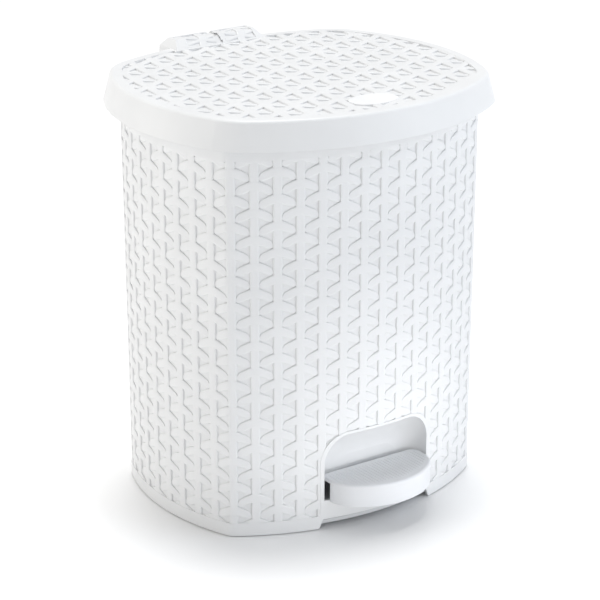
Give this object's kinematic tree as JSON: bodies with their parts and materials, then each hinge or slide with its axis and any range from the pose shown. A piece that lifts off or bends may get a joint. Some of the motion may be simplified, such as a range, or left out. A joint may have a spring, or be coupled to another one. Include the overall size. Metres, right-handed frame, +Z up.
{
  "type": "pedal bin",
  "caption": "Free-standing pedal bin with a woven-pattern body and hinged lid, a foot pedal that lifts the lid by a push rod, and a lift-out bucket.",
  "frame": {"origin": "on the floor under the middle of the bin's box", "axes": "+Z up, -Y towards the pedal, +Y towards the hinge, +X to the right of someone at the pedal"},
  "size_m": [0.2996, 0.28, 0.3465],
  "materials": {
    "body_plastic": "satin white moulded plastic",
    "lid_plastic": "satin white moulded plastic",
    "pedal_plastic": "satin white moulded plastic, ribbed tread",
    "badge_plastic": "smooth white",
    "bucket_plastic": "satin white, slightly greyer",
    "mechanism_plastic": "pale grey moulded plastic",
    "steel_wire": "drawn bright steel",
    "foot_rubber": "grey rubber"
  },
  "bodies": {
    "bin": {"outer_body": "body_plastic", "base_plate": "mechanism_plastic", "base_screws": "steel_wire", "foot_front_left": "foot_rubber", "foot_front_right": "foot_rubber", "foot_rear_left": "foot_rubber", "foot_rear_right": "foot_rubber", "axle_bush_left": "mechanism_plastic", "axle_bush_right": "mechanism_plastic", "axle_clip_left": "steel_wire", "axle_clip_right": "steel_wire", "pedal_axle": "steel_wire", "rod_guide_lower": "mechanism_plastic", "rod_guide_upper": "mechanism_plastic", "hinge_pin_left": "steel_wire", "hinge_pin_right": "steel_wire"},
    "lid": {"lid": "lid_plastic", "lid_badge": "badge_plastic", "lid_crank": "mechanism_plastic", "crank_pin": "steel_wire", "crank_screws": "steel_wire"},
    "pedal": {"pedal": "pedal_plastic", "pedal_lever": "mechanism_plastic", "tread_pin": "steel_wire"},
    "rod": {"push_rod": "steel_wire", "rod_head": "mechanism_plastic", "rod_clip": "steel_wire"},
    "bucket": {"inner_bucket": "bucket_plastic"},
    "handle": {"bucket_handle": "steel_wire", "handle_grip": "mechanism_plastic"}
  },
  "joints": [
    {"name": "lid_hinge", "type": "hinge", "parent": "bin", "child": "lid", "pos_m": [0, 0.1225, 0.322], "axis": [-1, 0, 0], "range_deg": [0, 70]},
    {"name": "pedal_press", "type": "hinge", "parent": "bin", "child": "pedal", "pos_m": [0, -0.035, 0.018], "axis": [1, 0, 0], "range_deg": [0, 10.6]},
    {"name": "rod_pivot", "type": "hinge", "parent": "pedal", "child": "rod", "pos_m": [0, 0.1025, 0.0125], "axis": [1, 0, 0], "range_deg": [-10.6, 0]},
    {"name": "bucket_lift", "type": "slide", "parent": "bin", "child": "bucket", "axis": [0, 0, 1], "range_m": [0, 0.0008]},
    {"name": "handle_swing", "type": "hinge", "parent": "bucket", "child": "handle", "pos_m": [0, -0.003, 0.325], "axis": [-1, 0, 0], "range_deg": [0, 4.4]}
  ],
  "couplings": [
    {"joint": "pedal_press", "follows": "lid_hinge", "ratio": 0.15142},
    {"joint": "rod_pivot", "follows": "lid_hinge", "ratio": -0.15142}
  ]
}
